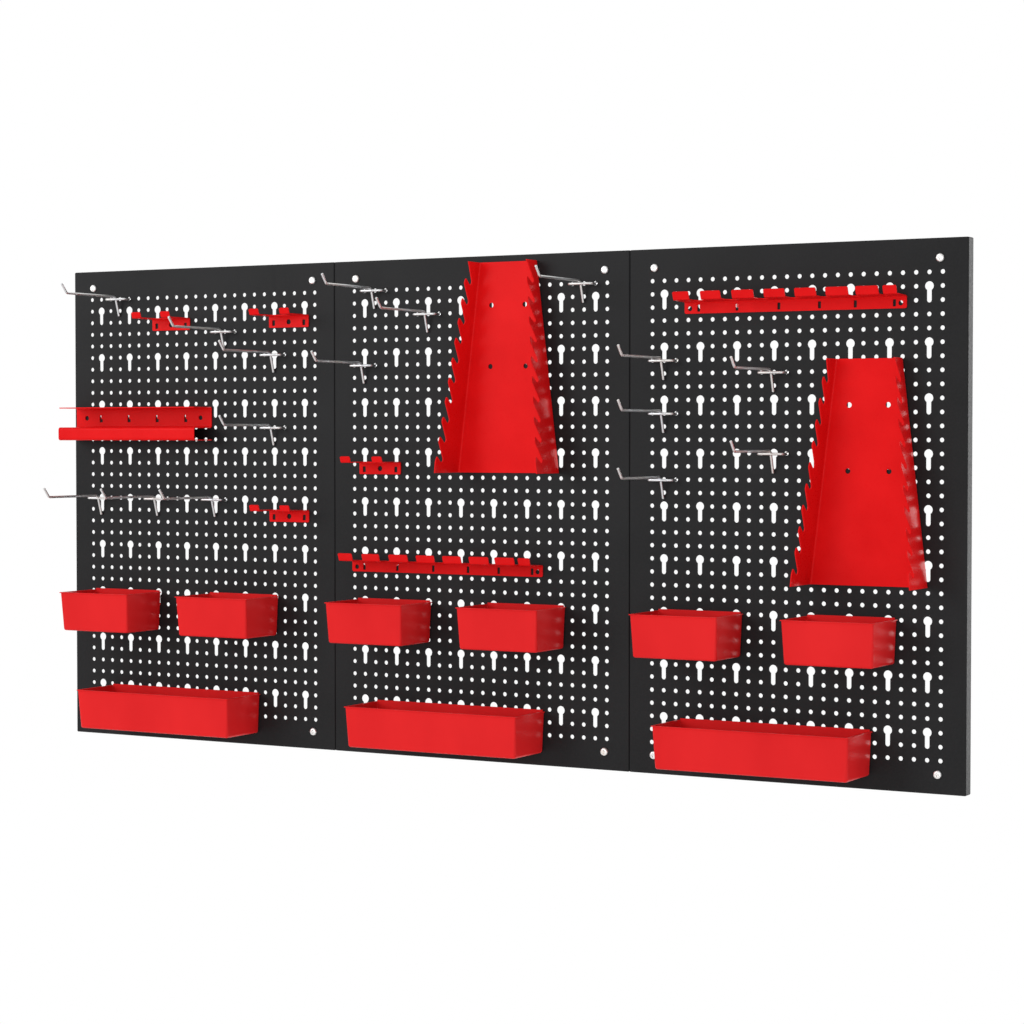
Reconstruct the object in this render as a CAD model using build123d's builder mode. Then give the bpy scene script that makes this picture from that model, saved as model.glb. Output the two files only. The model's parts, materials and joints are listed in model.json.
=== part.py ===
"""Pegboard tool wall: three perforated sheet panels, wire peg hooks, red bins, holders, racks and a shelf.

Millimetres, +Z up. The wall is the plane Y = 0 and the board faces -Y. X runs to the right.
"""

import os
from math import atan, cos, degrees

from build123d import *

# Board panels: folded sheet pans side by side
panel_width = 402.5
panel_height = 597.4
panel_pitch = 402.77
panel_depth = 15.0
panel_sheet = 1.0
panel_bend = 1.6
panel_side_names = ["left", "centre", "right"]

# Perforation grid of one panel
grid = 15.0
column_count = 24
row_count = 36
hole_dia = 5.0
key_head_dia = 10.0
key_slot_width = 5.4
key_first_column = 1
key_column_step = 3
key_first_row = 1
key_row_step = 4

# Wall screws: pan heads with a cross recess, a slim neck up to the wall and a shank into it
screw_span_x = 339.5
screw_span_z = 554.5
screw_hole_dia = 5.2
screw_head_dia = 9.4
screw_head_height = 3.0
screw_neck_dia = 4.2
screw_shank_dia = 4.6
screw_reach = 28.0
screw_tip_length = 6.0
recess_width = 1.2
recess_span = 5.2
recess_depth = 1.7

# Peg hooks: one bent wire frame and one bent wire arm, welded
wire_dia = 3.0
prong_span = 30.0
prong_drop = 0.7
wire_bend = 3.0
crossbar_reach = 10.5
riser_depth = 3.5
riser_height = 6.0
arm_rise = 2.5
arm_tip_reach = 115.5
arm_tip_rise = 13.8
arm_kick_reach = 106.0
arm_root_reach = 9.2
arm_bend = 5.0
leg_reach = 1.8
leg_drop = 22.0

# Red sheet accessories
red_sheet = 1.2
sheet_bend = 1.8
board_gap = 0.3
tab_root_drop = 2.3
tab_root_rise = 0.7
tab_leg_drop = 6.9
wide_tab_width = 3.0
wide_tab_low = 1.8
wide_tab_high = 0.6
blade_width = 1.2

# Fork holders
fork_width = 58.7
fork_low = 11.9
fork_high = 3.3
fork_fold_reach = 43.0
fork_reach = 45.5
fork_tab_top = 9.8
fork_prong_width = 13.8
fork_throat_reach = 14.0
fork_window_width = 4.4
fork_window_height = 6.9
fork_window_drop = 6.05
fork_hole_dia = 6.4
fork_hole_drop = 5.0

# Long holders
holder_width = 263.9
holder_low = 9.5
holder_high = 4.5
holder_fold_reach = 31.2
holder_fold_high = 5.5
holder_reach = 34.5
holder_tab_weld = 2.8
holder_tab_top = 13.7
holder_throat_reach = 13.0
holder_window_width = 3.6
holder_window_height = 7.7
holder_window_drop = 3.5
holder_windows = [-114.5, -67.5, -17.0, 31.2, 73.0, 118.0]
holder_hole_dia = 5.5
holder_hole_drop = 3.8
holder_hole_x = 125.2
# Gaps between the fingers, as left and right edges from the holder's centre
holder_gaps = [
    (-112.4, -98.0),
    (-73.8, -60.0),
    (-34.0, -21.8),
    (3.1, 14.8),
    (39.6, 50.8),
    (76.8, 85.5),
    (111.4, 116.6),
]

# Shelf of S profile
shelf_width = 215.0
shelf_top_rise = 10.8
shelf_mid_drop = 15.2
shelf_low_drop = 31.3
shelf_reach = 38.5
shelf_bend = 2.8
shelf_corner = 3.0
shelf_window_width = 5.0
shelf_window_height = 9.0
shelf_window_drop = 3.6
shelf_window_x = [-67.5, -22.5, 22.5, 67.5]
shelf_tongue_width = 2.8
shelf_tongue_height = 5.0
shelf_tongue_sheet = 0.7
shelf_hole_dia = 6.0
shelf_hole_drop = 2.7
shelf_hole_x = 90.6

# Spanner racks
rack_height = 247.5
rack_top_rise = 58.5
rack_top_width = 78.5
rack_low_width = 137.5
rack_bend = 3.0
rack_top_reach = 27.0
rack_low_reach = 55.4
rack_brow_slope = 0.54
rack_teeth = 10
rack_first_tooth = 19.6
rack_tooth_pitch = 23.15
rack_tip_reach = 27.4
rack_tip_slope = 0.117
rack_tip_back = 0.5
rack_tip_radius = 0.8
rack_root_back = 15.5
rack_root_drop = 4.0
rack_gullet_back = 12.0
rack_gullet_drop = 8.5
rack_gullet_radius = 3.0
rack_nose_jut = 2.0
rack_nose_drop = 5.5
rack_nose_radius = 5.0
rack_hole_dia = 6.0
rack_upper_hole_x = 22.5
rack_upper_hole_down = 50.5
rack_lower_hole_x = 23.75
rack_lower_hole_down = 122.5
rack_key_drop = 60.0

# Bins
small_bin_width = 108.4
long_bin_width = 234.5
bin_depth = 71.9
bin_height = 48.7
bin_side_inset = 3.1
bin_front_inset = 4.3
bin_wall = 1.6
bin_corner = 2.0
bin_low_corner = 3.5
bin_rim_jut = 1.3
bin_rim_height = 1.0
bin_back_rise = 1.8
small_bin_rim_rise = 15.8
long_bin_rim_rise = 12.7
bin_tab_width = 3.2
bin_tab_low = 1.75
bin_tab_high = 1.2
bin_tab_leg = 2.0

# Where each accessory sits: panel number, keyhole or hole column, row. The bins, racks and long
# holders also have how far their body sits to the right of its hanging tabs, and the long holders
# how far above.
hook_places = {
    "hook_01": (0, 3, 0),
    "hook_02": (0, 14, 3),
    "hook_03": (0, 19, 5),
    "hook_04": (0, 19, 11),
    "hook_05": (0, 1, 17),
    "hook_06": (0, 7, 17),
    "hook_07": (0, 13, 17),
    "hook_08": (1, 2, 0),
    "hook_09": (1, 7, 2),
    "hook_10": (1, 1, 6),
    "hook_11": (1, 21, 0),
    "hook_12": (2, 1, 6),
    "hook_13": (2, 1, 10),
    "hook_14": (2, 1, 15),
    "hook_15": (2, 10, 7),
    "hook_16": (2, 10, 13),
}
fork_places = {
    "fork_holder_01": (0, 8.5, 2),
    "fork_holder_02": (0, 20.5, 2),
    "fork_holder_03": (0, 20.5, 18),
    "fork_holder_04": (1, 2.5, 14),
}
holder_places = {
    "long_holder_01": (1, 8.5, 22, 2.1, -0.8),
    "long_holder_02": (2, 11.5, 2, 0.6, 1.3),
}
rack_places = {
    "spanner_rack_01": (1, 14.5, 2, -2.4),
    "spanner_rack_02": (2, 17.5, 10, -0.6),
}
shelf_place = (0, 5.5, 10)
small_bin_places = {
    "small_bin_01": (0, 4, 26, -3.8),
    "small_bin_02": (0, 16, 26, -2.1),
    "small_bin_03": (1, 4, 26, -3.2),
    "small_bin_04": (1, 16, 26, -1.6),
    "small_bin_05": (2, 4, 26, 0.1),
    "small_bin_06": (2, 16, 26, 2.2),
}
long_bin_places = {
    "long_bin_01": (0, 10, 34, -3.8),
    "long_bin_02": (1, 10, 34, -2.4),
    "long_bin_03": (2, 10, 34, 0.8),
}

# Planes of the sheet that everything hangs on
board_front = -panel_depth
sheet_back = board_front + panel_sheet
plate_back = board_front - board_gap
tab_front = sheet_back + board_gap


def column_x(panel, column):
    """Model X of a grid column of a panel."""
    return (panel - 1) * panel_pitch + (column - (column_count - 1) / 2) * grid


def row_z(row):
    """Model Z of a grid row."""
    return ((row_count - 1) / 2 - row) * grid


def front_plane(x, y, z):
    """Plane facing the viewer: local x to the right, local y up, normal along -Y."""
    return Plane((x, y, z), x_dir=(1, 0, 0), z_dir=(0, -1, 0))


def side_plane(x, z):
    """Plane across the object: local x is the reach in front of the board, local y is up."""
    return Plane((x, board_front, z), x_dir=(0, -1, 0), z_dir=(-1, 0, 0))


def save(part, name):
    """Label a finished piece and write its file."""
    part.label = name
    export_step(part, "parts/" + name + ".step")


def is_key_column(column):
    return column % key_column_step == key_first_column


def is_key_row(row):
    return row % key_row_step in (key_first_row, key_first_row + 1)


def is_sheet_edge(edge):
    """Whether an edge runs across the thickness of the red sheet."""
    return abs(edge.length - red_sheet) < 0.01


def is_steep(edge):
    """Whether an edge runs nearly upright."""
    return abs((edge % 0.5).Z) > 0.9


def rack_outline(inset, over):
    """Corners of a spanner rack seen from the front, inset at the sides and longer at both ends."""
    slope = (rack_low_width - rack_top_width) / 2 / rack_height
    top_half = rack_top_width / 2 - inset - slope * over
    low_half = rack_low_width / 2 - inset + slope * over
    return [
        (-top_half, over),
        (top_half, over),
        (low_half, -rack_height - over),
        (-low_half, -rack_height - over),
    ]


def make_panel(panel, name):
    """One folded pan: the flat perforated face, and the bent rim round it that stands off the wall."""
    centre_x = (panel - 1) * panel_pitch
    first_x = -(column_count - 1) / 2 * grid
    flat_width = panel_width - 2 * panel_bend
    flat_height = panel_height - 2 * panel_bend
    round_holes = []
    key_heads = []
    for column in range(column_count):
        for row in range(row_count):
            place = (first_x + column * grid, row_z(row))
            if not (is_key_column(column) and is_key_row(row)):
                round_holes.append(place)
            elif row % key_row_step == key_first_row:
                key_heads.append(place)
    key_ends = [(x, z - grid) for x, z in key_heads]
    key_necks = [(x, z - grid / 2) for x, z in key_heads]

    with BuildPart() as rim:
        with BuildSketch(front_plane(centre_x, 0, 0)):
            RectangleRounded(panel_width, panel_height, panel_bend)
        extrude(amount=panel_depth)
        fillet(rim.faces().sort_by(Axis.Y)[0].edges(), panel_bend)
        offset(amount=-panel_sheet, openings=rim.faces().sort_by(Axis.Y)[-1])
        with BuildSketch(front_plane(centre_x, board_front, 0)):
            Rectangle(flat_width, flat_height)
        extrude(amount=-2 * panel_sheet, mode=Mode.SUBTRACT)
    save(rim.part, name + "_rim")

    with BuildPart() as face:
        with BuildSketch(front_plane(centre_x, board_front, 0)):
            Rectangle(flat_width, flat_height)
        extrude(amount=-panel_sheet)
        with BuildSketch(front_plane(centre_x, board_front, 0)):
            with Locations(*round_holes):
                Circle(hole_dia / 2)
            with Locations(*key_heads):
                Circle(key_head_dia / 2)
            with Locations(*key_ends):
                Circle(key_slot_width / 2)
            with Locations(*key_necks):
                Rectangle(key_slot_width, grid)
            with GridLocations(screw_span_x, screw_span_z, 2, 2):
                Circle(screw_hole_dia / 2)
        extrude(amount=-2 * panel_sheet, mode=Mode.SUBTRACT)
    save(face.part, name + "_face")


def make_screws(panel, name):
    """The four wall screws of one panel, as separate solids."""
    centre_x = (panel - 1) * panel_pitch
    head_front = board_front - screw_head_height
    with BuildPart() as screws:
        with Locations(front_plane(centre_x, board_front, 0)):
            with GridLocations(screw_span_x, screw_span_z, 2, 2):
                Cylinder(
                    screw_head_dia / 2,
                    screw_head_height,
                    align=(Align.CENTER, Align.CENTER, Align.MIN),
                )
        rims = screws.faces().filter_by(Axis.Y).group_by(Axis.Y)[0].edges()
        fillet(rims, screw_head_height * 0.72)
        with BuildSketch(front_plane(centre_x, board_front, 0)):
            with GridLocations(screw_span_x, screw_span_z, 2, 2):
                Circle(screw_neck_dia / 2)
        extrude(amount=-panel_depth)
        with BuildSketch(front_plane(centre_x, 0, 0)):
            with GridLocations(screw_span_x, screw_span_z, 2, 2):
                Circle(screw_shank_dia / 2)
        extrude(amount=-(screw_reach - screw_tip_length))
        tip_ends = screws.faces().filter_by(Axis.Y).group_by(Axis.Y)[-1]
        extrude(tip_ends, amount=screw_tip_length, taper=17)
        with BuildSketch(front_plane(centre_x, head_front, 0)):
            with GridLocations(screw_span_x, screw_span_z, 2, 2):
                Rectangle(recess_span, recess_width)
                Rectangle(recess_width, recess_span)
        extrude(amount=-recess_depth, taper=8, mode=Mode.SUBTRACT)
    save(screws.part, name)


def make_hook(panel, column, row, name):
    """Two-prong wire hook: prongs rise behind the sheet, the arm reaches out and its leg rests below."""
    x = column_x(panel, column)
    z = row_z(row)
    prong_z = z - prong_drop
    riser_y = board_front + riser_depth
    bar_y = board_front - crossbar_reach
    riser_top = prong_z + wire_bend + riser_height
    half = prong_span / 2
    with BuildPart() as hook:
        with BuildLine() as yoke:
            FilletPolyline(
                (x - half, riser_y, riser_top),
                (x - half, riser_y, prong_z),
                (x - half, bar_y, prong_z),
                (x + half, bar_y, prong_z),
                (x + half, riser_y, prong_z),
                (x + half, riser_y, riser_top),
                radius=wire_bend,
            )
        with BuildSketch(Plane(yoke.line @ 0, z_dir=yoke.line % 0)):
            Circle(wire_dia / 2)
        sweep()
        with BuildLine() as arm:
            FilletPolyline(
                (x, board_front - arm_tip_reach, z + arm_tip_rise),
                (x, board_front - arm_kick_reach, z + arm_rise),
                (x, board_front - arm_root_reach, z + arm_rise),
                (x, board_front - leg_reach, z - leg_drop),
                radius=arm_bend,
            )
        with BuildSketch(Plane(arm.line @ 0, z_dir=arm.line % 0)):
            Circle(wire_dia / 2)
        sweep()
        ends = hook.edges().filter_by(GeomType.CIRCLE).filter_by(
            lambda edge: edge.is_closed and abs(edge.radius - wire_dia / 2) < 0.01
        )
        tip_end = ends.sort_by(Axis.Y)[0]
        leg_end = ends.sort_by(Axis.Z)[0]
        riser_ends = ends.sort_by(Axis.Y)[-2:]
        fillet([tip_end, leg_end] + list(riser_ends), 0.5)
    save(hook.part, name)


def add_wide_tabs(x, z, places, width, low, high, leg):
    """Hanging tabs that pass through the keyhole slots and drop behind the sheet."""
    root_depth = tab_front + leg - plate_back
    for place in places:
        with Locations((x + place, plate_back + root_depth / 2, z + (high - low) / 2)):
            Box(width, root_depth, high + low)
        with Locations((x + place, tab_front + leg / 2, z + (high - tab_leg_drop) / 2)):
            Box(width, leg, high + tab_leg_drop)


def make_fork(panel, column, row, name):
    """Short bent holder: back plate, two prongs forward and two upturned tabs."""
    x = column_x(panel, column)
    z = row_z(row)
    half_sheet = red_sheet / 2
    plate_reach = board_gap + half_sheet
    gap_width = fork_width - 2 * fork_prong_width
    with BuildPart() as fork:
        with BuildSketch(side_plane(x, z)):
            with BuildLine():
                FilletPolyline(
                    (plate_reach, -fork_low),
                    (plate_reach, fork_high - half_sheet),
                    (fork_fold_reach - half_sheet, fork_high - half_sheet),
                    (fork_reach - half_sheet, fork_tab_top),
                    radius=sheet_bend,
                )
            trace(line_width=red_sheet)
        extrude(amount=fork_width / 2, both=True)
        # Throat between the prongs, open at the front
        with BuildSketch(Plane.XY.offset(z - 1)):
            with Locations((x, board_front - fork_throat_reach - 25)):
                RectangleRounded(gap_width, 50, 9)
            with Locations((x, board_front - fork_throat_reach - 30)):
                Rectangle(gap_width, 40)
        extrude(amount=fork_tab_top + 3, mode=Mode.SUBTRACT)
        with BuildSketch(front_plane(x, board_front, z - fork_window_drop)):
            with Locations((-22.5, 0), (22.5, 0)):
                RectangleRounded(fork_window_width, fork_window_height, 0.8)
        extrude(amount=5, mode=Mode.SUBTRACT)
        with BuildSketch(front_plane(x, board_front, z - fork_hole_drop)):
            Circle(fork_hole_dia / 2)
        extrude(amount=5, mode=Mode.SUBTRACT)
        plate_corners = fork.edges().filter_by(Axis.Y).group_by(Axis.Z)[0]
        fillet(plate_corners, 1.6)
        tab_corners = fork.edges().filter_by(is_sheet_edge).group_by(Axis.Z)[-1]
        fillet(tab_corners, 1.8)
        add_wide_tabs(x, z, (-22.5, 22.5), wide_tab_width, wide_tab_low, wide_tab_high, red_sheet)
    save(fork.part, name)


def make_long_holder(panel, column, row, shift, lift, name):
    """Long bent holder with a flange of eight upturned fingers that lean outwards."""
    tab_x = column_x(panel, column)
    tab_z = row_z(row)
    x = tab_x + shift
    z = tab_z + lift
    tab_rise = tab_root_rise + holder_tab_weld
    half_sheet = red_sheet / 2
    plate_reach = board_gap + half_sheet
    with BuildPart() as holder:
        with BuildSketch(side_plane(x, z)):
            with BuildLine():
                FilletPolyline(
                    (plate_reach, -holder_low),
                    (plate_reach, holder_high - half_sheet),
                    (holder_fold_reach - half_sheet, holder_fold_high - half_sheet),
                    (holder_reach - half_sheet, holder_tab_top),
                    radius=sheet_bend,
                )
            trace(line_width=red_sheet)
        extrude(amount=holder_width / 2, both=True)
        # Gaps between the fingers, rounded at their inner ends
        with BuildSketch(Plane.XY.offset(z)):
            for left, right in holder_gaps:
                width = right - left
                inner = board_front - holder_throat_reach - width / 2
                outer = board_front - holder_reach - 5
                with Locations((x + (left + right) / 2, inner)):
                    Circle(width / 2)
                with Locations((x + (left + right) / 2, (inner + outer) / 2)):
                    Rectangle(width, inner - outer)
        extrude(amount=holder_tab_top + 3, mode=Mode.SUBTRACT)
        with BuildSketch(front_plane(x, board_front, z - holder_window_drop)):
            with Locations(*[(place, 0) for place in holder_windows]):
                RectangleRounded(holder_window_width, holder_window_height, 0.6)
        extrude(amount=5, mode=Mode.SUBTRACT)
        with BuildSketch(front_plane(x, board_front, z - holder_hole_drop)):
            with Locations((-holder_hole_x, 0), (holder_hole_x, 0)):
                Circle(holder_hole_dia / 2)
        extrude(amount=5, mode=Mode.SUBTRACT)
        plate_corners = holder.edges().filter_by(Axis.Y).group_by(Axis.Z)[0]
        fillet(plate_corners, 2.0)
        finger_corners = holder.edges().filter_by(is_sheet_edge).group_by(Axis.Z)[-1]
        fillet(finger_corners, 1.6)
        for place in (-112.5, -67.5, -22.5, 22.5, 67.5, 112.5):
            add_wide_tabs(
                tab_x, tab_z, (place,), blade_width, tab_root_drop, tab_rise, red_sheet
            )
    save(holder.part, name)


def make_shelf(panel, column, row, name):
    """Shelf of S profile: open channel above, boxed lip below."""
    x = column_x(panel, column)
    z = row_z(row)
    half_sheet = red_sheet / 2
    plate_reach = board_gap + half_sheet
    front_reach = shelf_reach - half_sheet
    with BuildPart() as shelf:
        with BuildSketch(side_plane(x, z)):
            with BuildLine():
                FilletPolyline(
                    (shelf_reach, shelf_top_rise - half_sheet),
                    (plate_reach, shelf_top_rise - half_sheet),
                    (plate_reach, -shelf_mid_drop),
                    (front_reach, -shelf_mid_drop),
                    (front_reach, -shelf_low_drop + half_sheet),
                    (board_gap, -shelf_low_drop + half_sheet),
                    radius=shelf_bend,
                )
            trace(line_width=red_sheet)
        extrude(amount=shelf_width / 2, both=True)
        with BuildSketch(front_plane(x, board_front, z - shelf_window_drop)):
            with Locations(*[(place, 0) for place in shelf_window_x]):
                Rectangle(shelf_window_width, shelf_window_height)
        extrude(amount=5, mode=Mode.SUBTRACT)
        with BuildSketch(front_plane(x, board_front, z - shelf_hole_drop)):
            with Locations((-shelf_hole_x, 0), (shelf_hole_x, 0)):
                Circle(shelf_hole_dia / 2)
        extrude(amount=5, mode=Mode.SUBTRACT)
        # Thin tongues left standing in the upper right corners of the windows
        tongue_x = (shelf_window_width - shelf_tongue_width) / 2
        tongue_z = (shelf_window_height - shelf_tongue_height) / 2
        with BuildSketch(front_plane(x, plate_back, z - shelf_window_drop)):
            with Locations(*[(place + tongue_x, tongue_z) for place in shelf_window_x]):
                Rectangle(shelf_tongue_width, shelf_tongue_height)
        extrude(amount=shelf_tongue_sheet)
        front_corners = shelf.edges().filter_by(Axis.Z).group_by(Axis.Y)[0].group_by(Axis.Z)[-1]
        fillet(front_corners, shelf_corner)
        for place in shelf_window_x:
            add_wide_tabs(x, z, (place,), blade_width, tab_root_drop, tab_root_rise, red_sheet)
    save(shelf.part, name)


def make_rack(panel, column, row, shift, name):
    """Spanner rack: tapered back plate and two flanges whose notches sit further out lower down."""
    tab_x = column_x(panel, column)
    x = tab_x + shift
    top = row_z(row) + rack_top_rise
    deep = rack_low_reach + 10
    over = 5.0
    with BuildPart() as channel:
        with BuildSketch(front_plane(x, plate_back, top)):
            with BuildLine():
                Polyline(*rack_outline(0, 0), close=True)
            make_face()
        extrude(amount=deep)
        folds = channel.faces().sort_by(Axis.Y)[-1].edges().filter_by(is_steep)
        fillet(folds, rack_bend)
        openings = channel.faces().filter_by(Axis.Z) + channel.faces().sort_by(Axis.Y)[:1]
        offset(amount=-red_sheet, openings=openings)
        # Side outline shared by both flanges
        outline = [(-1, over), (rack_top_reach + over * rack_brow_slope, over)]
        radii = [1.0, 1.0]
        for tooth in range(rack_teeth):
            down = rack_first_tooth + rack_tooth_pitch * tooth
            reach = rack_tip_reach + rack_tip_slope * down
            outline.append((reach - rack_root_back, -(down + rack_root_drop)))
            outline.append((reach - rack_gullet_back, -(down + rack_gullet_drop)))
            outline.append((reach - rack_tip_back, -down))
            outline.append((reach + rack_nose_jut, -(down + rack_nose_drop)))
            radii += [rack_gullet_radius, rack_gullet_radius, rack_tip_radius, rack_nose_radius]
        outline.append((rack_low_reach, -rack_height - over))
        outline.append((-1, -rack_height - over))
        radii += [1.0, 1.0]
        with BuildSketch(side_plane(x, top)):
            with BuildLine():
                FilletPolyline(*outline, radius=radii, close=True)
            make_face()
        extrude(amount=rack_low_width, both=True, mode=Mode.INTERSECT)

    # The flat of the back plate, between the two bends
    with BuildPart() as plate:
        add(channel.part)
        with BuildSketch(front_plane(x, plate_back, top)):
            with BuildLine():
                Polyline(*rack_outline(rack_bend, over), close=True)
            make_face()
        extrude(amount=deep, mode=Mode.INTERSECT)
        with BuildSketch(front_plane(x, board_front, top)):
            with Locations(
                (-rack_upper_hole_x, -rack_upper_hole_down),
                (rack_upper_hole_x, -rack_upper_hole_down),
                (-rack_lower_hole_x, -rack_lower_hole_down),
                (rack_lower_hole_x, -rack_lower_hole_down),
            ):
                Circle(rack_hole_dia / 2)
        extrude(amount=5, mode=Mode.SUBTRACT)
        for key_z in (top - rack_top_rise, top - rack_top_rise - rack_key_drop):
            add_wide_tabs(
                tab_x, key_z, (-22.5, 22.5), wide_tab_width, wide_tab_low, wide_tab_high, red_sheet
            )
    save(plate.part, name + "_plate")

    # The two flanges, each with its own bend
    with BuildPart() as flanges:
        add(channel.part)
        with BuildSketch(front_plane(x, plate_back, top)):
            with BuildLine():
                Polyline(*rack_outline(rack_bend, over), close=True)
            make_face()
        extrude(amount=deep, mode=Mode.SUBTRACT)
    left_flange, right_flange = flanges.part.solids().sort_by(Axis.X)
    save(left_flange, name + "_left_flange")
    save(right_flange, name + "_right_flange")


def make_bin(panel, column, row, shift, width, rim_rise, tab_places, name):
    """Open-topped moulded bin with drafted walls, a thin rim and hanging tabs on its back."""
    tab_x = column_x(panel, column)
    x = tab_x + shift
    z = row_z(row)
    rim_z = z + rim_rise
    floor_z = rim_z - bin_height
    back = plate_back
    front = back - bin_depth
    low_width = width - 2 * bin_side_inset
    low_depth = bin_depth - bin_front_inset
    body_width = width - 2 * bin_rim_jut
    body_depth = bin_depth - bin_rim_jut
    shell = 2 * bin_wall
    with BuildPart() as tray:
        with BuildSketch(Plane.XY.offset(floor_z)):
            with Locations((x, back - low_depth / 2)):
                RectangleRounded(low_width, low_depth, bin_low_corner)
        with BuildSketch(Plane.XY.offset(rim_z)):
            with Locations((x, back - body_depth / 2)):
                RectangleRounded(body_width, body_depth, bin_corner)
        loft()
        fillet(tray.faces().sort_by(Axis.Z)[0].edges(), bin_low_corner - 0.5)
        # Inside of the bin
        with BuildSketch(Plane.XY.offset(floor_z + bin_wall)):
            with Locations((x, back - low_depth / 2)):
                RectangleRounded(low_width - shell, low_depth - shell, bin_low_corner - 1)
        with BuildSketch(Plane.XY.offset(rim_z)):
            with Locations((x, back - body_depth / 2)):
                RectangleRounded(body_width - shell, body_depth - shell, bin_corner - 1)
        loft(mode=Mode.SUBTRACT)
        inner_floor = tray.faces().filter_by(Axis.Z).sort_by(Axis.Z)[1]
        fillet(inner_floor.edges(), bin_low_corner - 1.5)
        # Rim lip round the front and the sides
        with BuildSketch(Plane.XY.offset(rim_z - bin_rim_height)):
            with Locations((x, back - bin_depth / 2)):
                RectangleRounded(width, bin_depth, bin_corner)
            with Locations((x, back - body_depth / 2)):
                RectangleRounded(
                    body_width - shell, body_depth - shell, bin_corner - 1, mode=Mode.SUBTRACT
                )
        extrude(amount=bin_rim_height)
        # Back wall, a little higher than the rim
        with Locations((x, back - bin_wall / 2, rim_z)):
            Box(body_width - 2 * bin_corner, bin_wall, 2 * bin_back_rise)
        add_wide_tabs(tab_x, z, tab_places, bin_tab_width, bin_tab_low, bin_tab_high, bin_tab_leg)
    save(tray.part, name)


os.makedirs("parts", exist_ok=True)

for index, side_name in enumerate(panel_side_names):
    make_panel(index, "panel_" + side_name)
    make_screws(index, "wall_screws_" + side_name)

for hook_name, (panel, column, row) in hook_places.items():
    make_hook(panel, column, row, hook_name)

for fork_name, (panel, column, row) in fork_places.items():
    make_fork(panel, column, row, fork_name)

for holder_name, (panel, column, row, shift, lift) in holder_places.items():
    make_long_holder(panel, column, row, shift, lift, holder_name)

make_shelf(*shelf_place, "shelf")

for rack_name, (panel, column, row, shift) in rack_places.items():
    make_rack(panel, column, row, shift, rack_name)

for bin_name, (panel, column, row, shift) in small_bin_places.items():
    make_bin(
        panel, column, row, shift, small_bin_width, small_bin_rim_rise, (-45, 45), bin_name
    )

for bin_name, (panel, column, row, shift) in long_bin_places.items():
    make_bin(
        panel, column, row, shift, long_bin_width, long_bin_rim_rise, (-90, 0, 90), bin_name
    )
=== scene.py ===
"""Pegboard tool wall: materials, stage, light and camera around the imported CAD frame."""

import json
import math

import bmesh
import bpy
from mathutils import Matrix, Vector


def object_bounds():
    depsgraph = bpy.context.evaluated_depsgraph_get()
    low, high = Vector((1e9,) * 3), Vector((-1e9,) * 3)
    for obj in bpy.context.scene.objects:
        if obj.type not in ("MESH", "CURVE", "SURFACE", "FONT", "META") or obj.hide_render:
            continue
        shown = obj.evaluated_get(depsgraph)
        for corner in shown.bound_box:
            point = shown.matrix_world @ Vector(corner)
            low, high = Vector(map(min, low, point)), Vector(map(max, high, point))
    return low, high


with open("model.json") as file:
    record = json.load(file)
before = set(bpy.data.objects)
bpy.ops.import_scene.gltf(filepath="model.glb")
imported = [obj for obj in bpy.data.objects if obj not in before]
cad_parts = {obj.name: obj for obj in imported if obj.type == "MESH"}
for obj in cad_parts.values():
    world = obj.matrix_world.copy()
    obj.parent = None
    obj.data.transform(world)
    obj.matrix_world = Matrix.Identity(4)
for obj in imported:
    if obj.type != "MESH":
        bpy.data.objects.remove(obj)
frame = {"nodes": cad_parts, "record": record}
cad_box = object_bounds()
nodes = frame["nodes"]
scene = bpy.context.scene

# ---------------------------------------------------------------- node helpers


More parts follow.
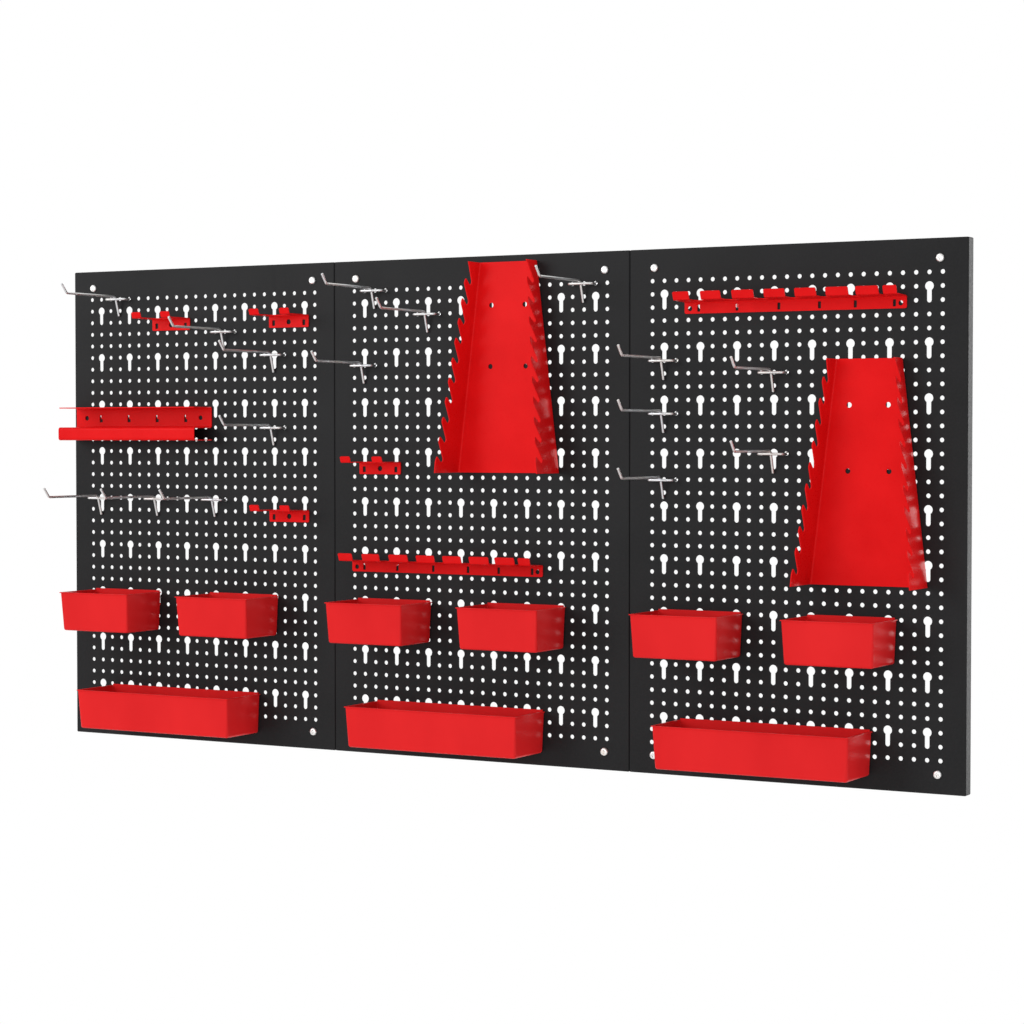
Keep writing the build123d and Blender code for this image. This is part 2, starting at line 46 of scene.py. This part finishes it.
class Graph:
    """Small helper that builds one material's node tree."""

    def __init__(self, name):
        self.material = bpy.data.materials.new(name)
        self.material.use_nodes = True
        self.tree = self.material.node_tree
        self.tree.nodes.clear()
        self.output = self.tree.nodes.new("ShaderNodeOutputMaterial")
        self.shader = self.tree.nodes.new("ShaderNodeBsdfPrincipled")
        self.link(self.shader.outputs["BSDF"], self.output.inputs["Surface"])
        self.coords = self.tree.nodes.new("ShaderNodeTexCoord").outputs["Object"]

    def link(self, a, b):
        self.tree.links.new(a, b)

    def set(self, **values):
        for key, value in values.items():
            self.shader.inputs[key.replace("_", " ")].default_value = value

    def noise(self, scale, detail=3.0, roughness=0.5, vector=None):
        node = self.tree.nodes.new("ShaderNodeTexNoise")
        node.inputs["Scale"].default_value = scale
        node.inputs["Detail"].default_value = detail
        node.inputs["Roughness"].default_value = roughness
        self.link(vector or self.coords, node.inputs["Vector"])
        return node.outputs["Fac"]

    def stretched(self, x, y, z):
        """Object coordinates scaled along each axis, so a texture stretches along the smallest."""
        node = self.tree.nodes.new("ShaderNodeMapping")
        node.inputs["Scale"].default_value = (x, y, z)
        self.link(self.coords, node.inputs["Vector"])
        return node.outputs["Vector"]

    def add(self, a, b):
        node = self.tree.nodes.new("ShaderNodeMath")
        node.operation = "ADD"
        self.link(a, node.inputs[0])
        self.link(b, node.inputs[1])
        return node.outputs[0]

    def spread(self, value, low, high, out_low, out_high):
        """Map low..high to out_low..out_high, clamped."""
        node = self.tree.nodes.new("ShaderNodeMapRange")
        node.clamp = True
        self.link(value, node.inputs["Value"])
        node.inputs["From Min"].default_value = low
        node.inputs["From Max"].default_value = high
        node.inputs["To Min"].default_value = out_low
        node.inputs["To Max"].default_value = out_high
        return node.outputs["Result"]

    def mix(self, factor, a, b):
        node = self.tree.nodes.new("ShaderNodeMix")
        node.data_type = "RGBA"
        self.link(factor, node.inputs["Factor"])
        sockets = [s for s in node.inputs if s.type == "RGBA"]
        for socket, value in zip(sockets, (a, b)):
            if isinstance(value, tuple):
                socket.default_value = (*value, 1.0)
            else:
                self.link(value, socket)
        return [s for s in node.outputs if s.type == "RGBA"][0]

    def bump(self, height, strength, distance, normal=None):
        node = self.tree.nodes.new("ShaderNodeBump")
        node.inputs["Strength"].default_value = strength
        node.inputs["Distance"].default_value = distance
        self.link(height, node.inputs["Height"])
        if normal is not None:
            self.link(normal, node.inputs["Normal"])
        return node.outputs["Normal"]

    def colour(self, socket):
        self.link(socket, self.shader.inputs["Base Color"])

    def rough(self, socket):
        self.link(socket, self.shader.inputs["Roughness"])

    def normal(self, socket):
        self.link(socket, self.shader.inputs["Normal"])


# ---------------------------------------------------------------- materials


def board_coat():
    """Near-black textured powder coat, faintly mottled, with a few pale handling marks."""
    g = Graph("board_powder_coat")
    g.set(Specular_IOR_Level=0.15)
    cloud = g.noise(9.0, 4.0, 0.55)
    fine = g.noise(420.0, 3.0, 0.6)
    grit = g.noise(1500.0, 2.0, 0.5)
    scuff = g.noise(30.0, 6.0, 0.7, g.stretched(1.0, 1.0, 0.25))
    base = g.mix(g.spread(cloud, 0.3, 0.7, 0, 1), (0.0098, 0.0098, 0.0104), (0.0138, 0.0138, 0.0146))
    base = g.mix(g.spread(fine, 0.4, 0.75, 0, 0.3), base, (0.024, 0.024, 0.025))
    base = g.mix(g.spread(scuff, 0.68, 0.82, 0, 0.08), base, (0.09, 0.09, 0.09))
    g.colour(base)
    g.rough(g.add(g.spread(fine, 0.3, 0.7, 0.42, 0.54), g.spread(scuff, 0.6, 0.8, 0.0, 0.1)))
    coarse = g.bump(fine, 0.22, 0.00035)
    g.normal(g.bump(grit, 0.12, 0.00012, coarse))
    return g.material


def red_coat():
    """Red powder coat on the sheet accessories: fine orange peel and a few paler rub marks."""
    g = Graph("red_powder_coat")
    g.set(Specular_IOR_Level=0.05, Coat_Weight=0.02, Coat_Roughness=0.3)
    cloud = g.noise(24.0, 3.0, 0.5)
    peel = g.noise(520.0, 2.0, 0.5)
    scuff = g.noise(90.0, 6.0, 0.72, g.stretched(0.4, 1.0, 1.0))
    base = g.mix(g.spread(cloud, 0.3, 0.7, 0, 1), (0.70, 0.0060, 0.0072), (0.77, 0.0088, 0.0100))
    base = g.mix(g.spread(scuff, 0.70, 0.82, 0, 0.12), base, (0.85, 0.09, 0.08))
    g.colour(base)
    g.rough(g.add(g.spread(peel, 0.3, 0.7, 0.26, 0.34), g.spread(scuff, 0.6, 0.8, 0.0, 0.12)))
    g.normal(g.bump(peel, 0.16, 0.00025))
    return g.material


def bin_plastic():
    """Glossy red moulded plastic with faint flow clouding, fine texture and dull handling scratches."""
    g = Graph("red_moulded_plastic")
    g.set(Specular_IOR_Level=0.08, Subsurface_Weight=0.03)
    g.shader.inputs["Subsurface Radius"].default_value = (0.004, 0.0006, 0.0005)
    g.shader.inputs["Subsurface Scale"].default_value = 1.0
    cloud = g.noise(14.0, 3.0, 0.5, g.stretched(1.0, 1.0, 0.45))
    fine = g.noise(900.0, 2.0, 0.5)
    wave = g.noise(28.0, 1.0, 0.3)
    scratch = g.noise(60.0, 7.0, 0.75, g.stretched(0.18, 1.0, 1.6))
    base = g.mix(g.spread(cloud, 0.3, 0.7, 0, 1), (0.66, 0.0135, 0.0155), (0.74, 0.0180, 0.0195))
    base = g.mix(g.spread(scratch, 0.68, 0.80, 0, 0.10), base, (0.80, 0.10, 0.09))
    g.colour(base)
    g.rough(g.add(g.spread(fine, 0.3, 0.7, 0.32, 0.38), g.spread(scratch, 0.58, 0.78, 0.0, 0.10)))
    slow = g.bump(wave, 0.08, 0.0008)
    g.normal(g.bump(fine, 0.05, 0.0001, slow))
    return g.material


def zinc(name, tint, rough_low, rough_high):
    """Satin zinc plate: small dull spots, a fine frosted grain and a faint warm cast."""
    g = Graph(name)
    g.set(Metallic=1.0)
    grain = g.noise(2600.0, 2.0, 0.5)
    spots = g.noise(180.0, 4.0, 0.65)
    cast = g.noise(22.0, 2.0, 0.5)
    base = g.mix(g.spread(cast, 0.35, 0.65, 0, 1), tint, (tint[0] * 1.03, tint[1] * 0.98, tint[2] * 0.92))
    base = g.mix(g.spread(spots, 0.6, 0.75, 0, 0.25), base, tuple(c * 0.66 for c in tint))
    g.colour(base)
    g.rough(
        g.add(
            g.spread(cast, 0.3, 0.7, rough_low, rough_high),
            g.spread(spots, 0.55, 0.75, 0.0, 0.10),
        )
    )
    g.normal(g.bump(grain, 0.05, 0.00004))
    return g.material


def stage_paint():
    """Plain pale studio floor."""
    g = Graph("studio_floor")
    g.set(Roughness=0.8, Specular_IOR_Level=0.2)
    g.colour(g.mix(g.spread(g.noise(2.0), 0.3, 0.7, 0, 1), (0.80, 0.80, 0.80), (0.84, 0.84, 0.84)))
    return g.material


materials = {
    "board_coat": board_coat(),
    "rack_coat": red_coat(),
    "bin_plastic": bin_plastic(),
    "hook_zinc": zinc("hook_zinc_plate", (0.74, 0.75, 0.77), 0.36, 0.44),
    "screw_zinc": zinc("screw_zinc_plate", (0.93, 0.93, 0.94), 0.34, 0.42),
}
slot_of = {entry["node"]: entry["material_slot"] for entry in frame["record"]["subparts"]}


def paint(obj, material):
    obj.data.materials.clear()
    obj.data.materials.append(material)


for name, obj in nodes.items():
    paint(obj, materials[slot_of[name]])

# ---------------------------------------------------------------- stage, light, camera

FLOOR_DROP = 0.75
FLOOR_Z = cad_box[0][2] - FLOOR_DROP
FLOOR_RADIUS = 1.5
FLOOR_SHIFT_Y = -0.2
FLOOR_SEGMENTS = 96
WHITE = (1, 1, 1, 1)
# The tent of light round the object: its strength in front and at the back, and
# the Y of the view direction where it starts and stops to rise between them.
TENT_FRONT = 0.72
TENT_BACK = 1.0
TENT_RISE_FROM = -0.25
TENT_RISE_TO = 0.1
# The camera stands to the right of the board and looks a little down at it.
CAMERA_PLACE = (1.49266, -2.58539, 0.08620)
CAMERA_YAW = math.radians(29.349)
CAMERA_PITCH = math.radians(-1.722)
CAMERA_SENSOR = 36.0
CAMERA_LENS = 88.32
CAMERA_CLIP_START = 0.05
CAMERA_CLIP_END = 100.0


def studio_floor():
    mesh = bpy.data.meshes.new("studio_floor")
    work = bmesh.new()
    bmesh.ops.create_circle(work, cap_ends=True, radius=FLOOR_RADIUS, segments=FLOOR_SEGMENTS)
    bmesh.ops.translate(work, verts=work.verts, vec=(0, FLOOR_SHIFT_Y, FLOOR_Z))
    work.to_mesh(mesh)
    work.free()
    floor = bpy.data.objects.new("studio_floor", mesh)
    scene.collection.objects.link(floor)
    paint(floor, stage_paint())


studio_floor()


def studio_world():
    """White behind the object; round it a tent of light, full white at the back and dimmer in front."""
    world = bpy.data.worlds.new("studio")
    scene.world = world
    world.use_nodes = True
    tree = world.node_tree
    tree.nodes.clear()
    output = tree.nodes.new("ShaderNodeOutputWorld")
    seen = tree.nodes.new("ShaderNodeBackground")
    seen.inputs["Color"].default_value = WHITE
    seen.inputs["Strength"].default_value = 1.0
    tent = tree.nodes.new("ShaderNodeBackground")
    tent.inputs["Color"].default_value = WHITE
    direction = tree.nodes.new("ShaderNodeTexCoord").outputs["Generated"]
    split = tree.nodes.new("ShaderNodeSeparateXYZ")
    tree.links.new(direction, split.inputs["Vector"])
    ramp = tree.nodes.new("ShaderNodeMapRange")
    ramp.inputs["From Min"].default_value = TENT_RISE_FROM
    ramp.inputs["From Max"].default_value = TENT_RISE_TO
    ramp.inputs["To Min"].default_value = TENT_FRONT
    ramp.inputs["To Max"].default_value = TENT_BACK
    tree.links.new(split.outputs["Y"], ramp.inputs["Value"])
    tree.links.new(ramp.outputs["Result"], tent.inputs["Strength"])
    path = tree.nodes.new("ShaderNodeLightPath")
    mixer = tree.nodes.new("ShaderNodeMixShader")
    tree.links.new(path.outputs["Is Camera Ray"], mixer.inputs["Fac"])
    tree.links.new(tent.outputs["Background"], mixer.inputs[1])
    tree.links.new(seen.outputs["Background"], mixer.inputs[2])
    tree.links.new(mixer.outputs["Shader"], output.inputs["Surface"])


studio_world()


def softbox(name, place, target, size, power):
    """A rectangular area light at place, facing target, size in metres and power in watts."""
    light = bpy.data.lights.new(name, "AREA")
    light.shape = "RECTANGLE"
    light.size, light.size_y = size
    light.energy = power
    holder = bpy.data.objects.new(name, light)
    holder.location = place
    holder.rotation_euler = (Vector(target) - Vector(place)).to_track_quat("-Z", "Y").to_euler()
    scene.collection.objects.link(holder)


softbox("key_softbox", (-2.3, -3.1, 1.3), (0, 0, 0), (2.1, 2.1), 48)
softbox("front_fill", (1.4, -4.6, -0.1), (0, 0, 0), (2.6, 1.6), 36)
softbox("rim_softbox", (2.2, 2.8, 0.2), (0.6, 0, 0), (1.6, 2.0), 40)

camera_data = bpy.data.cameras.new("camera")
camera_data.sensor_width = CAMERA_SENSOR
camera_data.lens = CAMERA_LENS
camera_data.clip_start = CAMERA_CLIP_START
camera_data.clip_end = CAMERA_CLIP_END
camera = bpy.data.objects.new("camera", camera_data)
camera.location = CAMERA_PLACE
camera.rotation_euler = (math.pi / 2 + CAMERA_PITCH, 0, CAMERA_YAW)
scene.collection.objects.link(camera)
scene.camera = camera
scene.view_settings.view_transform = "Standard"
scene.view_settings.look = "None"
